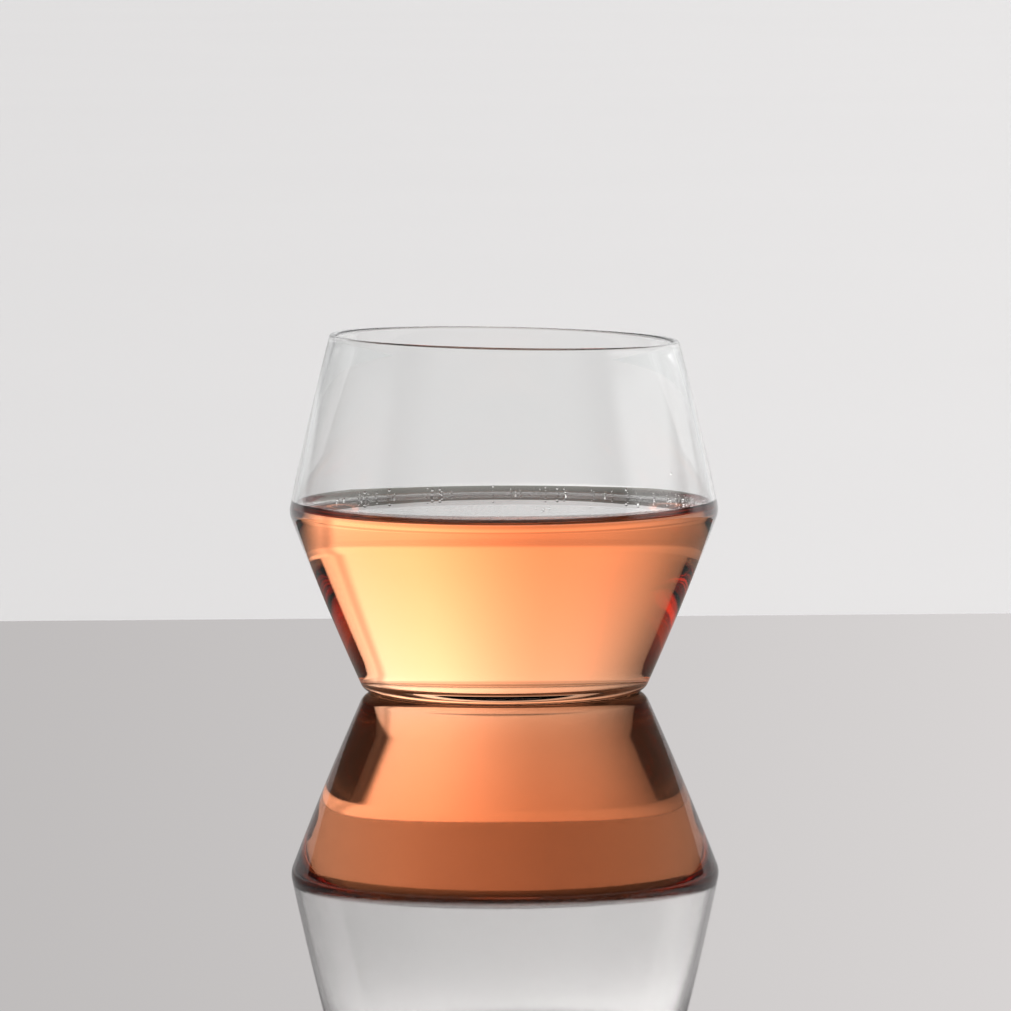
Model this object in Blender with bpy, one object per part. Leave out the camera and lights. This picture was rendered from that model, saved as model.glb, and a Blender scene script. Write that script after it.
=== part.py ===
"""A low whisky tumbler of thin blown glass, and the drink that stands in it.

Both pieces are turned about Z and rest on the plane Z = 0. The glass has a small foot, a lower wall
that widens to a rounded shoulder at half height, and an upper wall that leans in to a narrower rim.
Both walls bulge a little. The drink fills the glass to just above the shoulder.
"""

import math

import bmesh
import bpy
from mathutils import Vector

# Glass, in metres. Diameters and heights are those of the outside. The shoulder is the widest part,
# and the foot is the flat that the glass stands on.
HEIGHT = 0.0748
RIM_DIAMETER = 0.0735
SHOULDER_DIAMETER = 0.0903
SHOULDER_HEIGHT = 0.0385
SHOULDER_ROUND = 0.0048
WALL_BEND = 0.7
FOOT_DIAMETER = 0.0550
HEEL_ROUND = 0.0031
WALL = 0.0011
LIP = 0.0015
BASE = 0.0022
INNER_HEEL_ROUND = 0.0092
FOOT_RING_WIDTH = 0.0050
PUNT_DEPTH = 0.0003

# The hand-cut rim is lower on the +X side by this angle.
RIM_SLOPE = math.radians(1.35)

# Drink, in metres. The level is that of the flat middle of its surface.
DRINK_LEVEL = 0.0382
MENISCUS_RISE = 0.0023
MENISCUS_REACH = 0.0019
DRINK_GAP = 0.0003

# Facets.
SIDES = 64
SHOULDER_STEPS = 6
WALL_STEPS = 3
HEEL_STEPS = 5
LIP_STEPS = 6
PUNT_STEPS = 5
MENISCUS_STEPS = 6

# The edge of the meniscus is followed inwards for this many of its reaches, where it has died away.
MENISCUS_SPAN = 4.0

# The wall thickens towards the lip with this power of the height above the shoulder.
LIP_POWER = 5
MERGE_DISTANCE = 1e-6
SHARP_ANGLE = math.radians(40)


def clear_scene():
    for obj in list(bpy.data.objects):
        bpy.data.objects.remove(obj, do_unlink=True)


def clear_material(name, colour, roughness, refraction):
    """A see-through material of this colour and index of refraction."""
    made = bpy.data.materials.new(name)
    made.use_nodes = True
    made.diffuse_color = colour
    shader = made.node_tree.nodes["Principled BSDF"]
    shader.inputs["Base Color"].default_value = colour
    shader.inputs["Roughness"].default_value = roughness
    shader.inputs["Metallic"].default_value = 0.0
    shader.inputs["IOR"].default_value = refraction
    shader.inputs["Transmission Weight"].default_value = 1.0
    return made


def arc(centre, radius, start, end, steps):
    """Points of an arc from one bearing up to another, without its last point."""
    points = []
    for step in range(steps):
        turn = start + (end - start) * step / steps
        points.append(centre + radius * Vector((math.cos(turn), math.sin(turn))))
    return points


def bearing(centre, point):
    return math.atan2(point.y - centre.y, point.x - centre.x)


def wall_centre(first, first_round, second, second_round):
    """The centre of the wall's bulge, which runs smoothly into a round below it and one above it."""
    way = second - first
    reach = WALL_BEND - first_round
    along = (reach**2 - (WALL_BEND - second_round) ** 2 + way.length_squared) / (2 * way.length)
    across = math.sqrt(reach**2 - along**2)
    return first + (way * along + Vector((-way.y, way.x)) * across) / way.length


def outer_point(centre, radius, height):
    """The point of a circle that lies at this height, on the side away from the axis."""
    return Vector((centre.x + math.sqrt(radius**2 - (height - centre.y) ** 2), height))


def round_centres():
    """The centres of the lower wall's bulge, of the shoulder and of the upper wall's bulge."""
    heel = Vector((FOOT_DIAMETER / 2, HEEL_ROUND))
    shoulder = Vector((SHOULDER_DIAMETER / 2 - SHOULDER_ROUND, SHOULDER_HEIGHT))
    rim = Vector((RIM_DIAMETER / 2, HEIGHT))
    lower = wall_centre(heel, HEEL_ROUND, shoulder, SHOULDER_ROUND)
    upper = wall_centre(shoulder, SHOULDER_ROUND, rim, 0.0)
    return lower, shoulder, upper


def lip_centre():
    """The middle of the round lip, half a lip inside the upper wall and half a lip below the top."""
    return outer_point(round_centres()[2], WALL_BEND - LIP / 2, HEIGHT - LIP / 2)


def punt_outline(floor):
    """The base's pushed-up middle, from the axis out to the inner edge of the flat foot ring."""
    edge = FOOT_DIAMETER / 2 - FOOT_RING_WIDTH
    outline = []
    for step in range(PUNT_STEPS + 1):
        share = step / PUNT_STEPS
        rise = PUNT_DEPTH * (1 + math.cos(math.pi * share)) / 2
        outline.append(Vector((edge * share, floor + rise)))
    return outline


def surface_outline(depth, floor, heel_round):
    """A surface this deep in the glass, from the axis over its floor, heel and shoulder up to the lip."""
    lower, shoulder, upper = round_centres()
    bend = WALL_BEND - depth
    heel = outer_point(lower, bend - heel_round, floor + heel_round)
    heel_end = bearing(lower, heel)
    shoulder_start = bearing(lower, shoulder)
    shoulder_end = bearing(upper, shoulder)
    outline = punt_outline(floor)
    outline += arc(heel, heel_round, -math.pi / 2, heel_end, HEEL_STEPS)
    outline += arc(lower, bend, heel_end, shoulder_start, WALL_STEPS)
    outline += arc(shoulder, SHOULDER_ROUND - depth, shoulder_start, shoulder_end, SHOULDER_STEPS)
    outline += arc(upper, bend, shoulder_end, bearing(upper, lip_centre()), WALL_STEPS)
    return outline


def thicker_to_lip(outline):
    """An inner surface moved inwards above the shoulder, so that the wall is as thick as the lip at its top."""
    _, shoulder, upper = round_centres()
    moved = []
    for point in outline:
        share = max(0.0, (point.y - shoulder.y) / (lip_centre().y - shoulder.y))
        inward = (upper - point).normalized()
        moved.append(point + inward * (LIP - WALL) * share**LIP_POWER)
    return moved


def lip_outline():
    """The half round of the lip, from the inner wall over the top to the outer wall."""
    outward = bearing(round_centres()[2], lip_centre())
    outline = arc(lip_centre(), LIP / 2, outward + math.pi, outward, LIP_STEPS)
    outline += arc(lip_centre(), LIP / 2, outward, outward, 1)
    return outline


def below(outline, height):
    """The part of an outline up to this height, ending on it."""
    kept = [outline[0]]
    for start, end in zip(outline, outline[1:]):
        if end.y >= height:
            kept.append(start.lerp(end, (height - start.y) / (end.y - start.y)))
            break
        kept.append(end)
    return kept


def turned(name, profile, finish):
    """The solid that a profile, given from the axis back to the axis, sweeps out about Z."""
    shape = bmesh.new()
    verts = [shape.verts.new((point.x, 0.0, point.y)) for point in profile]
    edges = [shape.edges.new(pair) for pair in zip(verts, verts[1:])]
    bmesh.ops.spin(
        shape,
        geom=verts + edges,
        axis=(0.0, 0.0, 1.0),
        cent=(0.0, 0.0, 0.0),
        angle=math.tau,
        steps=SIDES,
        use_merge=True,
    )
    bmesh.ops.remove_doubles(shape, verts=shape.verts, dist=MERGE_DISTANCE)
    bmesh.ops.recalc_face_normals(shape, faces=shape.faces)
    mesh = bpy.data.meshes.new(name)
    shape.to_mesh(mesh)
    shape.free()
    mesh.materials.append(finish)
    mesh.shade_smooth()
    mesh.set_sharp_from_angle(angle=SHARP_ANGLE)
    obj = bpy.data.objects.new(name, mesh)
    bpy.context.scene.collection.objects.link(obj)
    return obj


def slope_rim(glass):
    """Slides each point above the shoulder along the slant of its wall, so that the rim slopes."""
    _, shoulder, upper = round_centres()
    slant = -math.tan(bearing(upper, lip_centre()))
    wall_from = shoulder.y + SHOULDER_ROUND * math.sin(bearing(upper, shoulder))
    for vert in glass.data.vertices:
        share = (vert.co.z - wall_from) / (HEIGHT - wall_from)
        if share <= 0:
            continue
        rise = -share * vert.co.x * math.tan(RIM_SLOPE)
        outward = vert.co.xy.normalized()
        vert.co += Vector((*(outward * slant * rise), rise))


def make_glass():
    """The blown glass: inner surface, round lip and outer surface in one closed skin."""
    inside = thicker_to_lip(surface_outline(WALL, BASE, INNER_HEEL_ROUND))
    outside = surface_outline(0.0, 0.0, HEEL_ROUND)
    profile = inside + lip_outline() + outside[::-1]
    finish = clear_material("clear_glass", (0.94, 0.97, 0.96, 1.0), 0.02, 1.5)
    glass = turned("glass_tumbler", profile, finish)
    slope_rim(glass)
    return glass


def make_drink():
    """The drink, clear of the glass all round, with a surface that climbs the wall."""
    outline = surface_outline(WALL + DRINK_GAP, BASE + DRINK_GAP, INNER_HEEL_ROUND - DRINK_GAP)
    wall = below(outline, DRINK_LEVEL + MENISCUS_RISE)
    surface = [Vector((0.0, DRINK_LEVEL))]
    for step in range(MENISCUS_STEPS):
        reaches = MENISCUS_SPAN * (1 - step / MENISCUS_STEPS) ** 2
        rise = MENISCUS_RISE * math.exp(-reaches)
        surface.append(Vector((wall[-1].x - MENISCUS_REACH * reaches, DRINK_LEVEL + rise)))
    profile = surface + wall[::-1]
    finish = clear_material("amber_rose_drink", (0.95, 0.62, 0.36, 1.0), 0.02, 1.34)
    return turned("drink", profile, finish)


def main():
    clear_scene()
    glass = make_glass()
    drink = make_drink()
    drink.parent = glass


main()
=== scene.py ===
"""The looks of a low whisky tumbler: its blown glass, its drink with bubbles, and a plain studio."""

import math

import bpy
import numpy as np
from bpy.props import FloatProperty, FloatVectorProperty, IntProperty, PointerProperty
from mathutils import Matrix, Vector


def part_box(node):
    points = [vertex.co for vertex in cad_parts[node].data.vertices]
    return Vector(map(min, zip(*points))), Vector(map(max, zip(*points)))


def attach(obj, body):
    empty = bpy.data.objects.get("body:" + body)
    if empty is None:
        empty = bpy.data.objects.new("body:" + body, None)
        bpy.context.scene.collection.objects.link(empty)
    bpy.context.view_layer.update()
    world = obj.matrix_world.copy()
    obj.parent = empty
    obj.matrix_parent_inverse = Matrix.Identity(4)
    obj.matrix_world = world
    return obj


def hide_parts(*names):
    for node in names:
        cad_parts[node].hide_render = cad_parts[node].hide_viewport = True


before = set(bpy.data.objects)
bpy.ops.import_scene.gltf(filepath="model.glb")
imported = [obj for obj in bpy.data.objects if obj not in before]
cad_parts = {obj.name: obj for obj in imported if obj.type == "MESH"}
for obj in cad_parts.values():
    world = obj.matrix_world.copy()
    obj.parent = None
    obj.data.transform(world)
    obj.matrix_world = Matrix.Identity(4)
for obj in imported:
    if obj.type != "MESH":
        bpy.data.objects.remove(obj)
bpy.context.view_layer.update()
DRINK_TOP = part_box("drink")[1].z

bl_info = {
    "name": "Whisky tumbler",
    "version": (1, 0, 0),
    "blender": (4, 5, 0),
    "location": "3D View > Sidebar > Tumbler",
    "description": "Turns a blown tumbler with its drink and stands it in a plain studio",
    "category": "Add Mesh",
}

BODY = "root"

# Steps of the turned outlines.
ARC_STEPS = 40
LIP_STEPS = 24
FLOOR_STEPS = 18
MENISCUS_STEPS = 40
FLAT_STEPS = 12
BALL_ROWS = 8
BALL_SIDES = 12

# Edges sharper than this stay sharp.
SHARP_ANGLE = math.radians(50)

# The wall thickens to its lip with this power of the height above the shoulder.
LIP_POWER = 5

# The meniscus is followed from the wall until its height has fallen by this power of e.
MENISCUS_FALL = 7.0

# Air, in metres, that keeps two clear surfaces from lying in one place.
SKIN = 0.000005

# Keeps a point on the axis from dividing by zero, in metres.
NEAR_AXIS = 1e-9

# Clear finishes. A ripple is the scale of its noise and its depth in metres.
WHITE = (1.0, 1.0, 1.0)
GLASS_RIPPLE = (40.0, 0.00002)
SURFACE_RIPPLE = (90.0, 0.00001)
BLOOM_ROUGHNESS = 0.004
CLOUD_TINT = (0.995, 0.99, 0.985)

# Bearings of the bubbles, in degrees from +X: both ends of the row along the back edge, and the middle
# and spread of the cluster.
EDGE_BEARINGS = (22, 150)
CLUSTER_BEARING = (24, 8)

# How far the bubbles drift inwards, and how far both kinds keep from the wall, in metres.
EDGE_DRIFT = 0.0006
CLUSTER_DRIFT = 0.0022
EDGE_CLEARANCE = 0.0003

# The two patches of loose bubbles: their middles along X and Y, their spread, and the left one's share.
LEFT_PATCH = -0.022
RIGHT_PATCH = 0.0105
PATCH_BACK = 0.004
PATCH_SPREAD = (0.004, 0.005)
LEFT_SHARE = 0.6

# Sizes of the bubbles, as shares of a middling one.
BUBBLE_SIZES = (0.55, 1.3)
LOOSE_SIZE = 0.5

# The droplet on the wall: metres above the drink's edge, and radians from +X.
DROPLET_RISE = 0.0037
DROPLET_TURN = 0.56

# The board's dust, and the dark pool that clear pieces show of the board.
DUST = (0.8, 0.8, 0.8)
POOL_DARK = (0.03, 0.03, 0.03)
POOL_SHINE = (0.8, 0.79, 0.72)

# Depth of the floor and reach of the camera, in metres, and bounces that the light is followed for.
FLOOR_DEPTH = 0.1
VIEW_REACH = 100.0
CLEAR_BOUNCES = 96
MIRROR_BOUNCES = 8
SEE_THROUGH_BOUNCES = 16


def length(name, description, default):
    return FloatProperty(
        name=name, description=description, default=default, unit="LENGTH", precision=5
    )


def colour(name, description, default):
    return FloatVectorProperty(
        name=name, description=description, default=default, subtype="COLOR", size=3, min=0.0, max=1.0
    )


def angle(name, description, degrees):
    return FloatProperty(
        name=name, description=description, default=math.radians(degrees), subtype="ANGLE"
    )


def number(name, description, default):
    return FloatProperty(name=name, description=description, default=default, precision=4)


def count(name, description, default, least=1):
    return IntProperty(name=name, description=description, default=default, min=least)


class TumblerGlass(bpy.types.PropertyGroup):
    """Sizes of the blown glass. Diameters are outside ones."""

    height: length("Height", "Table to the middle of the rim", 0.0748)
    rim_diameter: length("Rim", "Outside of the upper wall at the rim's height", 0.0735)
    shoulder_diameter: length("Shoulder", "Widest part of the glass", 0.0903)
    shoulder_height: length("Shoulder height", "Table to the widest part", 0.0385)
    shoulder_round: length("Shoulder round", "Radius of the shoulder's outline", 0.0048)
    wall_bend: length("Wall bend", "Radius of the slight bulge of both walls", 0.7)
    foot_diameter: length("Foot", "Outside of the flat foot", 0.0550)
    heel_round: length("Heel round", "Radius between wall and foot", 0.0031)
    wall: length("Wall", "Thickness of the wall", 0.0011)
    lip: length("Lip", "Thickness of the glass at its rim", 0.0015)
    base: length("Base", "Thickness of the base", 0.0022)
    inner_heel_round: length("Inner heel round", "Radius between inner wall and floor", 0.0092)
    foot_ring: length("Foot ring", "Width of the flat ring that touches the table", 0.0050)
    punt: length("Punt", "How far the middle of the base is pushed up", 0.0003)
    rim_slope: angle("Rim slope", "How far the rim slopes down towards +X", 1.35)
    sides: count("Sides", "Steps round the glass", 256, least=48)
    refraction: number("Refraction", "Index of refraction of the glass", 1.5)
    tint: colour("Tint", "Colour of the glass", (0.985, 0.995, 0.99))


class TumblerDrink(bpy.types.PropertyGroup):
    """Sizes and colour of the drink and of the bubbles on it."""

    contact: length("Contact line", "Height at which the surface meets the glass", DRINK_TOP)
    rise: length("Rise", "How far the surface climbs the glass", 0.0023)
    capillary: length("Capillary length", "Reach of the surface's curve at the wall", 0.0017)
    refraction: number("Refraction", "Index of refraction of the drink", 1.355)
    absorption: colour("Absorption", "Colour that a depth of drink lets through", (0.987, 0.467, 0.08))
    density: number("Density", "Strength of the absorption per metre", 30.0)
    edge_bubbles: count("Edge bubbles", "Bubbles along the back edge", 42)
    cluster: count("Cluster", "Bubbles in the cluster at the right", 26)
    loose: count("Loose bubbles", "Tiny bubbles on the flat surface", 22)
    bubble_radius: length("Bubble radius", "Radius of a middling bubble", 0.00026)
    seed: count("Seed", "Choice of the bubbles' places", 5, least=0)


class TumblerStage(bpy.types.PropertyGroup):
    """The board, the floor, the light and the camera."""

    board_back: length("Board back", "Glass's axis to the back edge of the board", 0.166)
    board_front: length("Board front", "Glass's axis to the front edge of the board", 1.1)
    board_width: length("Board width", "Side to side of the board", 1.6)
    board_thickness: length("Board thickness", "Top of the board to the floor", 0.012)
    board_gap: length("Board gap", "Air between the board and the foot", 0.00005)
    board_turn: angle("Board turn", "Turn of the board about the glass", 2.5)
    floor_size: length("Floor", "Side of the floor", 60.0)
    camera_distance: length("Camera distance", "Glass's axis to the camera", 1.8)
    camera_height: length("Camera height", "Board to the camera", 0.185)
    aim_across: length("Aim across", "Where the camera aims, along X", 0.00034)
    aim_height: length("Aim height", "Where the camera aims, above the board", 0.03925)
    view_angle: angle("View angle", "Angle across the picture", 6.75)
    roll: angle("Roll", "Turn of the camera about its view", -0.2)
    board_colour: colour("Board", "Colour of the polished board", (0.66, 0.645, 0.64))
    board_mirror: colour("Board's mirror", "Colour of the board's mirror image", (0.55, 0.53, 0.527))
    front_light: number("Front light", "Strength of the light in front of the glass", 0.44)
    dark_light: number("Dark light", "Strength of the dark part of the studio", 0.08)
    top_light: number("Top light", "Strength of the light from above on matt surfaces", 1.37)
    # The darker left floor colour is painted shade; the right one is the plain floor.
    floor_left_painted_shade: colour("Floor left", "Colour of the matt floor far to the left", (0.603, 0.594, 0.594))
    floor_right: colour("Floor right", "Colour of the matt floor far to the right", (0.95, 0.932, 0.93))


class Term:
    """A socket's value in a node tree. Sums, differences and products of terms add Math nodes."""

    def __init__(self, tree, socket):
        self.tree = tree
        self.socket = socket

    @classmethod
    def node(cls, tree, kind, settings, inputs):
        """Any node: its settings first, then the values or links of its sockets."""
        made = tree.nodes.new(kind)
        for name, value in settings.items():
            setattr(made, name, value)
        for name, value in inputs.items():
            if isinstance(value, Term):
                tree.links.new(value.socket, made.inputs[name])
            else:
                made.inputs[name].default_value = value
        return cls(tree, made.outputs[0]) if made.outputs else made

    def output(self, name):
        return Term(self.tree, self.socket.node.outputs[name])

    def math(self, operation, *values):
        return Term.node(self.tree, "ShaderNodeMath", {"operation": operation}, dict(enumerate(values)))

    def __add__(self, other):
        return self.math("ADD", self, other)

    def __sub__(self, other):
        return self.math("SUBTRACT", self, other)

    def __rsub__(self, other):
        return self.math("SUBTRACT", other, self)

    def __mul__(self, other):
        return self.math("MULTIPLY", self, other)

    __radd__ = __add__
    __rmul__ = __mul__

    def ramp(self, start, end, low, high):
        """Low up to start and high from end on, with a smooth change between."""
        return Term.node(
            self.tree,
            "ShaderNodeMapRange",
            {"interpolation_type": "SMOOTHSTEP"},
            {0: self, 1: start, 2: end, 3: low, 4: high},
        )


def new_tree(name):
    """A material with an empty node tree, and that tree."""
    finish = bpy.data.materials.new(name)
    finish.use_nodes = True
    finish.node_tree.nodes.clear()
    return finish, finish.node_tree


def object_noise(tree, scale):
    """Noise over the piece, in Object coordinates, from 0 to 1."""
    place = Term.node(tree, "ShaderNodeTexCoord", {}, {}).output("Object")
    return Term.node(tree, "ShaderNodeTexNoise", {}, {"Vector": place, "Scale": scale, "Detail": 2.0})


def coordinates(tree, kind):
    """X, Y and Z of the texture coordinates of this kind."""
    place = Term.node(tree, "ShaderNodeTexCoord", {}, {}).output(kind)
    parts = Term.node(tree, "ShaderNodeSeparateXYZ", {}, {"Vector": place})
    return [parts.output(name) for name in "XYZ"]


def degrees_aside(across, ahead):
    """The bearing of a direction from straight ahead, in degrees and positive on the right."""
    return across.math("ARCTAN2", across, ahead) * math.degrees(1)


def mixed(tree, factor, low, high):
    """The colour that is low where the factor is 0 and high where it is 1."""
    inputs = {"Factor": factor, 6: (*low, 1.0), 7: (*high, 1.0)}
    return Term.node(tree, "ShaderNodeMix", {"data_type": "RGBA"}, inputs).output(2)


def mixed_shaders(tree, factor, low, high):
    """The shader that is low where the factor is 0 and high where it is 1."""
    return Term.node(tree, "ShaderNodeMixShader", {}, {0: factor, 1: low, 2: high})


def mirror_shader(tree, tint, roughness):
    inputs = {"Color": (*tint, 1.0), "Roughness": roughness}
    return Term.node(tree, "ShaderNodeBsdfAnisotropic", {"distribution": "GGX"}, inputs)


def bumped(tree, height, depth):
    """A normal that tilts as a relief of this depth in metres would."""
    return Term.node(tree, "ShaderNodeBump", {}, {"Strength": 1.0, "Distance": depth, "Height": height})


def clear_finish(name, refraction, tint=WHITE, ripple=None):
    """A clear material with a hardly seen bloom and, where one is given, a faint ripple."""
    finish, tree = new_tree(name)
    bloom = object_noise(tree, scale=120.0)
    inputs = {
        "Base Color": mixed(tree, bloom, tint, WHITE),
        "Roughness": bloom.ramp(0.55, 0.8, 0.0, BLOOM_ROUGHNESS),
        "IOR": refraction,
        "Transmission Weight": 1.0,
    }
    if ripple:
        scale, depth = ripple
        inputs["Normal"] = bumped(tree, object_noise(tree, scale), depth)
    shader = Term.node(tree, "ShaderNodeBsdfPrincipled", {}, inputs)
    Term.node(tree, "ShaderNodeOutputMaterial", {}, {"Surface": shader})
    return finish


def drink_finish(drink):
    """The body of the drink, which colours light by depth.

    It bends no light, because the glass that it wets and the film on its surface do that.
    """
    finish, tree = new_tree("amber_rose_drink")
    cloud = object_noise(tree, scale=60.0)
    shader = Term.node(
        tree,
        "ShaderNodeBsdfPrincipled",
        {},
        {
            "Base Color": mixed(tree, cloud, CLOUD_TINT, WHITE),
            "Roughness": 0.0,
            "IOR": 1.0,
            "Transmission Weight": 1.0,
        },
    )
    depth = Term.node(
        tree,
        "ShaderNodeVolumeAbsorption",
        {},
        {"Color": (*drink.absorption, 1.0), "Density": drink.density},
    )
    Term.node(tree, "ShaderNodeOutputMaterial", {}, {"Surface": shader, "Volume": depth})
    return finish


def arc(centre, radius, start, end, steps=ARC_STEPS):
    """Points centre + radius (cos a, sin a) for bearings a from start up to, but not including, end."""
    bearings = np.linspace(start, end, steps, endpoint=False)
    return centre + radius * np.column_stack([np.cos(bearings), np.sin(bearings)])


def bearing(centre, point):
    return math.atan2(point[1] - centre[1], point[0] - centre[0])


def touching_centre(first, first_round, second, second_round, bend):
    """Centre of the arc of radius bend that two rounds touch from inside.

    It lies bend - round away from the centre of each of them, on the left of the way between them.
    """
    way = second - first
    span = np.linalg.norm(way)
    reach = bend - first_round
    along = (reach**2 - (bend - second_round) ** 2 + span**2) / (2 * span)
    across = math.sqrt(reach**2 - along**2)
    return first + (way * along + np.array([-way[1], way[0]]) * across) / span


def out_at_height(centre, radius, height):
    """The outer point of a circle at this height."""
    return np.array([centre[0] + math.sqrt(radius**2 - (height - centre[1]) ** 2), height])


def round_centres(glass):
    """Centres of the arcs of the lower wall, of the shoulder and of the upper wall."""
    heel = np.array([glass.foot_diameter / 2, glass.heel_round])
    shoulder = np.array([glass.shoulder_diameter / 2 - glass.shoulder_round, glass.shoulder_height])
    rim = np.array([glass.rim_diameter / 2, glass.height])
    lower = touching_centre(heel, glass.heel_round, shoulder, glass.shoulder_round, glass.wall_bend)
    upper = touching_centre(shoulder, glass.shoulder_round, rim, 0.0, glass.wall_bend)
    return lower, shoulder, upper


def lip_centre(glass):
    """Centre of the round lip, half its thickness inside the upper wall and half of it below the top."""
    upper = round_centres(glass)[2]
    return out_at_height(upper, glass.wall_bend - glass.lip / 2, glass.height - glass.lip / 2)


def wall_outline(glass, depth, floor, heel_round):
    """A surface of the glass from the axis, over its floor, round its heel and shoulder, up to the lip.

    Heel, lower wall, shoulder and upper wall are arcs that run into each other, this deep inside the
    outer surface. The floor is raised in the middle by half the punt times (1 + cos(pi r / R)), R being
    the punt's radius.
    """
    lower, shoulder, upper = round_centres(glass)
    bend = glass.wall_bend - depth
    heel = out_at_height(lower, bend - heel_round, floor + heel_round)
    heel_end = bearing(lower, heel)
    shoulder_start = bearing(lower, shoulder)
    shoulder_end = bearing(upper, shoulder)
    path = np.vstack(
        [
            np.linspace((0.0, floor), (heel[0], floor), FLOOR_STEPS, endpoint=False),
            arc(heel, heel_round, -math.pi / 2, heel_end),
            arc(lower, bend, heel_end, shoulder_start),
            arc(shoulder, glass.shoulder_round - depth, shoulder_start, shoulder_end),
            arc(upper, bend, shoulder_end, bearing(upper, lip_centre(glass))),
        ]
    )
    punt_radius = glass.foot_diameter / 2 - glass.foot_ring
    share = np.clip(path[:, 0] / punt_radius, 0.0, 1.0)
    path[:, 1] += glass.punt * (1 + np.cos(np.pi * share)) / 2
    return path


def inner_outline(glass):
    """The inner surface, which leaves the outer one towards the lip with a power of its height."""
    path = wall_outline(glass, glass.wall, glass.base, glass.inner_heel_round)
    _, shoulder, upper = round_centres(glass)
    share = np.clip((path[:, 1] - shoulder[1]) / (path[-1, 1] - shoulder[1]), 0.0, 1.0) ** LIP_POWER
    inward = (upper - path) / np.linalg.norm(upper - path, axis=1, keepdims=True)
    return path + inward * (share * (glass.lip - glass.wall))[:, None]


def split_at_height(path, height):
    """The parts of a rising path below and above a height, each with its own point on it."""
    row = int(np.argmax(path[:, 1] > height))
    start, end = path[row - 1 : row + 1]
    place = start + (end - start) * (height - start[1]) / (end[1] - start[1])
    return np.vstack([path[:row], place]), np.vstack([place, path[row:]])


def glass_profile(glass, drink):
    """The section of the glass, inner floor to lip to foot, and the row where the drink's edge lies."""
    wet, dry = split_at_height(inner_outline(glass), drink.contact)
    centre = lip_centre(glass)
    outward = bearing(round_centres(glass)[2], centre)
    lip = arc(centre, glass.lip / 2, outward + math.pi, outward, LIP_STEPS)
    lip_end = arc(centre, glass.lip / 2, outward, outward, 1)
    outside = wall_outline(glass, 0.0, 0.0, glass.heel_round)
    return np.vstack([wet, dry[1:], lip, lip_end, outside[::-1]]), len(wet) - 1


def slope_rim(glass, points):
    """Slides points above the shoulder along the slant of the upper wall, so that the rim slopes to +X.

    The rise is -x tan(slope) times the share of the upper wall's height, and the radius changes with
    the slant.
    """
    _, shoulder, upper = round_centres(glass)
    straight_from = shoulder[1] + glass.shoulder_round * math.sin(bearing(upper, shoulder))
    slant = -math.tan(bearing(upper, lip_centre(glass)))
    share = np.clip((points[:, 2] - straight_from) / (glass.height - straight_from), 0.0, None)
    rise = -share * points[:, 0] * math.tan(glass.rim_slope)
    spread = np.linalg.norm(points[:, :2], axis=1, keepdims=True)
    outward = points[:, :2] / np.maximum(spread, NEAR_AXIS)
    return points + np.column_stack([outward * (slant * rise)[:, None], rise])


def turned(profile, sides):
    """The closed surface that a profile sweeps out about Z: points, faces and each face's profile row.

    The profile runs from the axis back to the axis, downwards on its outer side. Row i and step j give
    the point (r_i cos a_j, r_i sin a_j, z_i); the two ends are single points.
    """
    rings = profile[1:-1]
    around = np.arange(sides) * math.tau / sides
    ring_points = np.stack(
        [
            np.outer(rings[:, 0], np.cos(around)),
            np.outer(rings[:, 0], np.sin(around)),
            np.repeat(rings[:, 1:], sides, axis=1),
        ],
        axis=2,
    ).reshape(-1, 3)
    ends = np.array([[0.0, 0.0, profile[0, 1]], [0.0, 0.0, profile[-1, 1]]])
    points = np.vstack([ring_points, ends])
    step = np.arange(sides)
    after = (step + 1) % sides
    row = np.arange(len(rings) - 1)[:, None] * sides
    quads = np.stack([row + step, row + sides + step, row + sides + after, row + after], axis=2)
    last = (len(rings) - 1) * sides
    first_pole = np.full(sides, len(ring_points))
    first_fan = np.stack([first_pole, step, after], axis=1)
    last_fan = np.stack([last + step, first_pole + 1, last + after], axis=1)
    faces = first_fan.tolist() + quads.reshape(-1, 4).tolist() + last_fan.tolist()
    rows = np.repeat(np.arange(len(rings) + 1), sides)
    return points, faces, rows


def new_piece(name, points, faces, finishes, slots=None):
    """A smooth mesh piece at the origin, with a material slot for each face."""
    mesh = bpy.data.meshes.new(name)
    mesh.from_pydata(points.tolist(), [], faces)
    for finish in finishes:
        mesh.materials.append(finish)
    if slots is not None:
        mesh.polygons.foreach_set("material_index", np.asarray(slots, np.int32))
    mesh.shade_smooth()
    mesh.set_sharp_from_angle(angle=SHARP_ANGLE)
    mesh.update()
    piece = bpy.data.objects.new(name, mesh)
    bpy.context.scene.collection.objects.link(piece)
    return piece


class TUMBLER_OT_glass(bpy.types.Operator):
    """Turns the blown glass, with its inner wall told apart where the drink wets it."""

    bl_idname = "tumbler.glass"
    bl_label = "Blown glass"

    def execute(self, context):
        glass = context.scene.tumbler_glass
        drink = context.scene.tumbler_drink
        profile, wet_row = glass_profile(glass, drink)
        points, faces, rows = turned(profile, glass.sides)
        dry = clear_finish("clear_glass", glass.refraction, glass.tint, GLASS_RIPPLE)
        wet = clear_finish("wetted_glass", glass.refraction / drink.refraction)
        piece = new_piece("blown_glass", slope_rim(glass, points), faces, [dry, wet], rows < wet_row)
        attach(piece, BODY)
        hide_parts("glass_tumbler")
        return {"FINISHED"}


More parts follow.
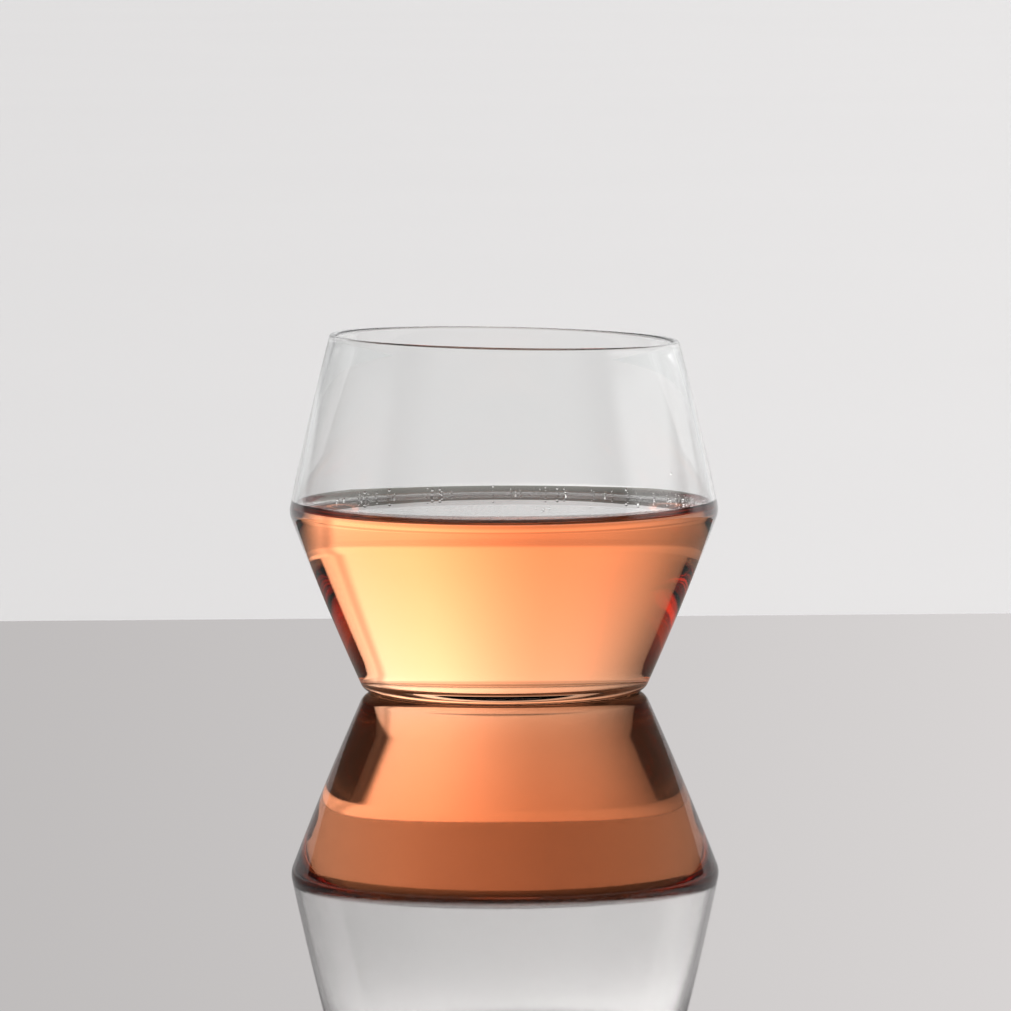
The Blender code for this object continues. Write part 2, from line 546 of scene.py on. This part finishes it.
def meniscus(drink, edge_radius):
    """The drink's surface from the axis out to the glass, as (radius, height) rows.

    A surface held up at a wall by its tension is at height h where its distance from the wall is
    a (acosh(2a/h) - acosh(2a/H)) - sqrt(4a^2 - h^2) + sqrt(4a^2 - H^2), with capillary length a and
    rise H.
    """
    a = drink.capillary
    height = drink.rise * np.exp(-np.linspace(MENISCUS_FALL, 0.0, MENISCUS_STEPS))
    away = a * (np.arccosh(2 * a / height) - np.arccosh(2 * a / drink.rise))
    away += np.sqrt(4 * a**2 - drink.rise**2) - np.sqrt(4 * a**2 - height**2)
    level = drink.contact - drink.rise
    curve = np.column_stack([edge_radius - away, level + height])
    flat = np.linspace((0.0, curve[0, 1]), curve[0], FLAT_STEPS, endpoint=False)
    return np.vstack([flat, curve])


def drink_wall(glass, drink):
    """The outside of the drink, a skin inside the wetted glass, from the axis to the contact line."""
    wet = split_at_height(inner_outline(glass), drink.contact)[0]
    along = np.gradient(wet, axis=0)
    along /= np.linalg.norm(along, axis=1, keepdims=True)
    wall = wet + SKIN * np.column_stack([-along[:, 1], along[:, 0]])
    wall[0, 0] = 0.0
    return wall


class TUMBLER_OT_drink(bpy.types.Operator):
    """Fills the glass: a body that colours light and a film that bends it at the surface."""

    bl_idname = "tumbler.drink"
    bl_label = "Drink"

    def execute(self, context):
        glass = context.scene.tumbler_glass
        drink = context.scene.tumbler_drink
        wall = drink_wall(glass, drink)
        surface = meniscus(drink, wall[-1, 0])
        lower = surface - [0.0, 2 * SKIN]
        body_profile = np.vstack([surface - [0.0, 3 * SKIN], wall[-2::-1]])
        body = new_piece("drink_body", *turned(body_profile, glass.sides)[:2], [drink_finish(drink)])
        points, faces, rows = turned(np.vstack([surface, lower[::-1]]), glass.sides)
        top = clear_finish("drink_surface", drink.refraction, ripple=SURFACE_RIPPLE)
        under = clear_finish("drink_below_surface", 1.0)
        film = new_piece("drink_surface", points, faces, [top, under], rows >= len(surface) - 1)
        for piece in (body, film):
            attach(piece, BODY)
        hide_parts("drink")
        return {"FINISHED"}


def bubble_places(drink, surface):
    """Centres and radii of the bubbles, each resting on the surface.

    The edge's bubbles lie round the back, the cluster at its right end and the loose ones in two
    patches. A bubble of radius s over a surface tilted by t stands out from it by s (-sin t, cos t).
    """
    pick = np.random.default_rng(drink.seed)
    edge_turn = pick.uniform(*EDGE_BEARINGS, drink.edge_bubbles)
    cluster_turn = pick.normal(*CLUSTER_BEARING, drink.cluster)
    edge_drift = pick.exponential(EDGE_DRIFT, drink.edge_bubbles)
    cluster_drift = pick.exponential(CLUSTER_DRIFT, drink.cluster)
    patch = np.where(pick.random(drink.loose) < LEFT_SHARE, LEFT_PATCH, RIGHT_PATCH)
    spread = pick.normal(0.0, PATCH_SPREAD, (drink.loose, 2))
    loose = np.column_stack([patch, np.full(drink.loose, PATCH_BACK)]) + spread
    away = EDGE_CLEARANCE + np.concatenate([edge_drift, cluster_drift])
    radius = np.concatenate([surface[-1, 0] - away, np.hypot(loose[:, 0], loose[:, 1])])
    rim_turn = np.radians(np.concatenate([edge_turn, cluster_turn]))
    turn = np.concatenate([rim_turn, np.arctan2(loose[:, 1], loose[:, 0])])
    slope = np.arctan2(np.gradient(surface[:, 1]), np.gradient(surface[:, 0]))
    tilt = np.interp(radius, surface[:, 0], slope)
    size = drink.bubble_radius * pick.uniform(*BUBBLE_SIZES, len(radius))
    size[-drink.loose :] *= LOOSE_SIZE
    out = radius - (size + SKIN) * np.sin(tilt)
    up = np.interp(radius, surface[:, 0], surface[:, 1]) + (size + SKIN) * np.cos(tilt)
    return np.column_stack([out * np.cos(turn), out * np.sin(turn), up]), size


def balls(name, centres, radii, finish):
    """A piece made of small balls, each centre + radius times a half circle turned about Z."""
    down = np.linspace(math.pi / 2, -math.pi / 2, BALL_ROWS)
    points, faces, _ = turned(np.column_stack([np.cos(down), np.sin(down)]), BALL_SIDES)
    shift = (np.arange(len(radii)) * len(points))[:, None, None]
    triangles = np.array([face for face in faces if len(face) == 3]) + shift
    quads = np.array([face for face in faces if len(face) == 4]) + shift
    placed = centres[:, None] + radii[:, None, None] * points
    all_faces = triangles.reshape(-1, 3).tolist() + quads.reshape(-1, 4).tolist()
    return new_piece(name, placed.reshape(-1, 3), all_faces, [finish])


class TUMBLER_OT_bubbles(bpy.types.Operator):
    """Floats bubbles, each a bead of drink, on the surface and hangs one droplet on the wall."""

    bl_idname = "tumbler.bubbles"
    bl_label = "Bubbles"

    def execute(self, context):
        glass = context.scene.tumbler_glass
        drink = context.scene.tumbler_drink
        surface = meniscus(drink, drink_wall(glass, drink)[-1, 0])
        finish = clear_finish("bead_of_drink", drink.refraction)
        bubbles = balls("edge_bubbles", *bubble_places(drink, surface), finish)
        height = drink.contact + DROPLET_RISE
        wall = split_at_height(inner_outline(glass), height)[1][0, 0]
        out = wall - drink.bubble_radius - SKIN
        place = np.array([[out * math.cos(DROPLET_TURN), out * math.sin(DROPLET_TURN), height]])
        droplet = balls("wall_droplet", place, np.array([drink.bubble_radius]), finish)
        for piece in (bubbles, droplet):
            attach(piece, BODY)
        return {"FINISHED"}


def panel_light(turn, rise, bare, dry):
    """Brightness of the wide soft panel behind the glass, by bearing and elevation in degrees.

    Bare and dry are 1 for rays that have passed few clear surfaces, as studio_light says, and 0 for
    the others.
    """
    # It brightens from the left to right of the middle, and has a darker gap further right.
    wide = turn.ramp(-46, -3, 0.5, 1.42) + turn.ramp(-8, 15, 0.0, 1.2)
    wide += turn.ramp(37, 41, 0.0, 0.55) - turn.ramp(31.5, 36.5, 0.0, 1.12)
    # Through the drink, its low right end is dim.
    wide *= 1.0 - turn.ramp(33, 56, 0.0, 0.75) * rise.ramp(11, 16, 1.0, 0.0) * (1.0 - dry)
    # High up it is a little darker on the left and lighter on the right.
    slant = turn.ramp(-10, 30, -0.1, 0.1) * rise.ramp(15, 28, 0.0, 1.0) + 1.0
    # Its foot is dimmer, and reaches higher for rays that haven't passed the drink.
    low = 0.66 - dry * 0.01
    low -= bare * rise.ramp(3.5, 5.5, 1.0, 0.14) * turn.ramp(5, 20, 0.23, 0.35)
    foot = rise.ramp(bare * 3.0 + dry * 3.2 + 3.8, bare * 3.5 + dry * 4.2 + 7.3, low, 1.0)
    # Its top edge is lower on the right.
    top_edge = 35.0 - turn.ramp(18, 28, 0.0, 4.0)
    panel = wide * slant * foot * rise.ramp(top_edge, top_edge + 3.0, 1.0, 0.13)
    # The empty bowl shows its right side no brighter than white.
    return panel.math("MINIMUM", panel, 3.0 - dry * turn.ramp(4, 14, 0.0, 2.0))


def room_light(stage, turn, rise, dry):
    """Brightness of the studio apart from its panel, by bearing and elevation in degrees."""
    around = turn.math("ABSOLUTE", turn)
    # A soft light in front of the glass, well above the horizon.
    front = around.ramp(110, 140, 0.0, 1.0) * rise.ramp(10, 16, 0.0, 1.0)
    front *= rise.ramp(32, 40, stage.front_light, 0.0)
    # A brighter front at every elevation for rays that have passed the drink.
    front += around.ramp(120, 140, 0.0, 0.9) * (1.0 - dry)
    # Low lights at both sides, brighter on the right, for the other rays.
    flank = around.ramp(52, 62, 0.0, 1.0) * around.ramp(98, 112, 1.0, 0.0)
    flank *= rise.ramp(7, 11, 0.0, 1.0) * rise.ramp(18, 26, 1.0, 0.0)
    flank *= turn.ramp(-60, 60, 0.5, 1.35) * dry
    return stage.dark_light + front + flank


def studio_light(scene, stage):
    """The light of the studio, by its bearing from straight behind the glass and its elevation.

    A soft panel stands behind, weaker lights in front and at the sides, and matt surfaces get light from
    the top. Bare rays have passed at most 2 clear surfaces, dry ones at most 4, which is the empty bowl,
    and all others have passed the drink. Each kind is given the surroundings that it shows.
    """
    world = bpy.data.worlds.new("studio")
    world.use_nodes = True
    world.cycles.sampling_method = "NONE"
    tree = world.node_tree
    tree.nodes.clear()
    across, ahead, up = coordinates(tree, "Generated")
    turn = degrees_aside(across, ahead)
    rise = up.math("ARCSINE", up) * math.degrees(1)
    path = Term.node(tree, "ShaderNodeLightPath", {}, {})
    depth = path.output("Transmission Depth")
    bare = depth.ramp(2, 3, 1.0, 0.0)
    dry = depth.ramp(4, 5, 1.0, 0.0)
    room = room_light(stage, turn, rise, dry)
    behind = turn.ramp(-80, -48, 0.0, 1.0) * turn.ramp(52, 64, 1.0, 0.0)
    seen = room + (panel_light(turn, rise, bare, dry) - room) * behind
    # Rays that were mirrored several times bring less of it.
    seen *= path.output("Glossy Depth").ramp(1, 3, 1.0, 0.4)
    # Just above the horizon dry rays meet the same pale grey as the floor's.
    backdrop = turn.ramp(-30, 30, 0.73, 0.78)
    seen += (backdrop - seen) * rise.ramp(2.6, 4.4, 1.0, 0.0) * dry
    matt = path.output("Diffuse Depth")
    top = rise.ramp(25, 60, 0.0, stage.top_light) * matt.math("MINIMUM", matt, 1.0)
    glow = Term.node(tree, "ShaderNodeBackground", {}, {"Color": (*WHITE, 1.0), "Strength": seen + top})
    Term.node(tree, "ShaderNodeOutputWorld", {}, {"Surface": glow})
    scene.world = world


def board_finish(stage):
    """A pale polished board with a little dust, which mirrors at a low angle.

    Rays from glass see it as a dark pool instead, unless they have passed one wall only or come from
    straight above.
    """
    finish, tree = new_tree("polished_board")
    dust = object_noise(tree, scale=900.0)
    low_angle = Term.node(tree, "ShaderNodeLayerWeight", {}, {"Blend": 0.5}).output("Facing")
    dusty = mixed(tree, dust.ramp(0.6, 0.75, 0.0, 0.3), stage.board_colour, DUST)
    matt = Term.node(tree, "ShaderNodeBsdfDiffuse", {}, {"Color": dusty})
    mirror = mirror_shader(tree, stage.board_mirror, dust.ramp(0.4, 0.8, 0.01, 0.03))
    polish = mixed_shaders(tree, low_angle.ramp(0.55, 0.82, 0.06, 1.0), matt, mirror)
    dark = Term.node(tree, "ShaderNodeBsdfDiffuse", {}, {"Color": (*POOL_DARK, 1.0)})
    shine = mirror_shader(tree, POOL_SHINE, 0.01)
    fresnel = Term.node(tree, "ShaderNodeFresnel", {}, {"IOR": 1.5})
    pool = mixed_shaders(tree, fresnel, dark, shine)
    path = Term.node(tree, "ShaderNodeLightPath", {}, {})
    depth = path.output("Transmission Depth")
    one_wall = depth.ramp(0, 1, 0.0, 1.0) * depth.ramp(2, 3, 1.0, 0.0)
    from_glass = path.output("Is Glossy Ray") * (1.0 - one_wall) * low_angle.ramp(0.05, 0.13, 0.0, 1.0)
    board = mixed_shaders(tree, from_glass, polish, pool)
    Term.node(tree, "ShaderNodeOutputMaterial", {}, {"Surface": board})
    return finish


def floor_finish(stage):
    """A matt floor with painted shade: its colour goes from a darker left one to the right one.

    The painted shade follows the bearing from a point in front of the glass, as if the studio's light
    were weaker on the left. For rays that have passed the drink it follows the bearing from the glass
    and is stronger. At both sides of the glass and in front of it the floor has the right colour alone.
    """
    finish, tree = new_tree("matt_floor_painted_shade")
    paper = object_noise(tree, scale=3.0)
    across, ahead, _ = coordinates(tree, "Object")
    from_front = degrees_aside(across, ahead + stage.camera_distance)
    from_glass = degrees_aside(across, ahead)
    # Painted shade: the floor darkens towards the left, following the bearing from in front of the
    # glass.
    share = from_front.ramp(-30, 30, 0.0, 1.0) + (paper - 0.5) * 0.04
    depth = Term.node(tree, "ShaderNodeLightPath", {}, {}).output("Transmission Depth")
    # Rays that have passed the drink see a stronger painted shade, following the bearing from the glass.
    share += (from_glass.ramp(-25, 30, -0.6, 1.5) - share) * depth.ramp(5, 8, 0.0, 1.0)
    aside = from_glass.math("ABSOLUTE", from_glass).ramp(60, 100, 0.0, 1.0)
    share += (1.0 - share) * aside
    shader = Term.node(
        tree,
        "ShaderNodeBsdfPrincipled",
        {},
        {
            "Base Color": mixed(tree, share, stage.floor_left_painted_shade, stage.floor_right),
            "Roughness": 0.9,
            "Specular IOR Level": 0.1,
        },
    )
    Term.node(tree, "ShaderNodeOutputMaterial", {}, {"Surface": shader})
    return finish


def slab(name, low, high, turn, finish):
    """A flat box between two corners, turned about Z."""
    corners = [
        (x, y, z)
        for z in (low[2], high[2])
        for y in (low[1], high[1])
        for x in (low[0], high[0])
    ]
    spin = np.array(Matrix.Rotation(turn, 3, "Z"))
    faces = [(0, 2, 3, 1), (4, 5, 7, 6), (0, 1, 5, 4), (1, 3, 7, 5), (3, 2, 6, 7), (2, 0, 4, 6)]
    made = new_piece(name, np.array(corners) @ spin.T, faces, [finish])
    made.data.shade_flat()


class TUMBLER_OT_stage(bpy.types.Operator):
    """Lays the board and the floor, lights them and sets the camera."""

    bl_idname = "tumbler.stage"
    bl_label = "Stage"

    def execute(self, context):
        scene = context.scene
        stage = scene.tumbler_stage
        half = stage.board_width / 2
        low = (-half, -stage.board_front, -stage.board_thickness)
        high = (half, stage.board_back, -stage.board_gap)
        slab("board", low, high, stage.board_turn, board_finish(stage))
        half = stage.floor_size / 2
        low = (-half, -half, -stage.board_thickness - FLOOR_DEPTH)
        high = (half, half, -stage.board_thickness)
        slab("floor", low, high, 0.0, floor_finish(stage))
        studio_light(scene, stage)
        self.set_camera(scene, stage)
        scene.view_settings.view_transform = "Standard"
        scene.cycles.max_bounces = CLEAR_BOUNCES
        scene.cycles.transmission_bounces = CLEAR_BOUNCES
        scene.cycles.glossy_bounces = MIRROR_BOUNCES
        scene.cycles.transparent_max_bounces = SEE_THROUGH_BOUNCES
        return {"FINISHED"}

    def set_camera(self, scene, stage):
        lens = bpy.data.cameras.new("camera")
        lens.angle = stage.view_angle
        lens.clip_end = VIEW_REACH
        camera = bpy.data.objects.new("camera", lens)
        scene.collection.objects.link(camera)
        place = Vector((stage.aim_across, -stage.camera_distance, stage.camera_height))
        aim = Vector((stage.aim_across, 0.0, stage.aim_height))
        turn = (aim - place).to_track_quat("-Z", "Y").to_matrix() @ Matrix.Rotation(stage.roll, 3, "Z")
        camera.matrix_world = Matrix.LocRotScale(place, turn, None)
        scene.camera = camera


class TUMBLER_PT_panel(bpy.types.Panel):
    """Lists the pieces of the tumbler and their sizes and colours in the sidebar."""

    bl_idname = "TUMBLER_PT_panel"
    bl_label = "Whisky tumbler"
    bl_space_type = "VIEW_3D"
    bl_region_type = "UI"
    bl_category = "Tumbler"

    def draw(self, context):
        for step in OPERATORS:
            self.layout.operator(step.bl_idname)
        for name in GROUPS:
            group = getattr(context.scene, name)
            box = self.layout.box()
            for key in group.bl_rna.properties.keys():
                if key not in ("rna_type", "name"):
                    box.prop(group, key)


OPERATORS = (TUMBLER_OT_glass, TUMBLER_OT_drink, TUMBLER_OT_bubbles, TUMBLER_OT_stage)
GROUPS = {"tumbler_glass": TumblerGlass, "tumbler_drink": TumblerDrink, "tumbler_stage": TumblerStage}
CLASSES = (*GROUPS.values(), *OPERATORS, TUMBLER_PT_panel)


def register():
    for made in CLASSES:
        bpy.utils.register_class(made)
    for name, group in GROUPS.items():
        setattr(bpy.types.Scene, name, PointerProperty(type=group))


def unregister():
    for name in GROUPS:
        delattr(bpy.types.Scene, name)
    for made in reversed(CLASSES):
        bpy.utils.unregister_class(made)


def main():
    register()
    bpy.ops.tumbler.glass()
    bpy.ops.tumbler.drink()
    bpy.ops.tumbler.bubbles()
    bpy.ops.tumbler.stage()


if __name__ == "__main__":
    main()
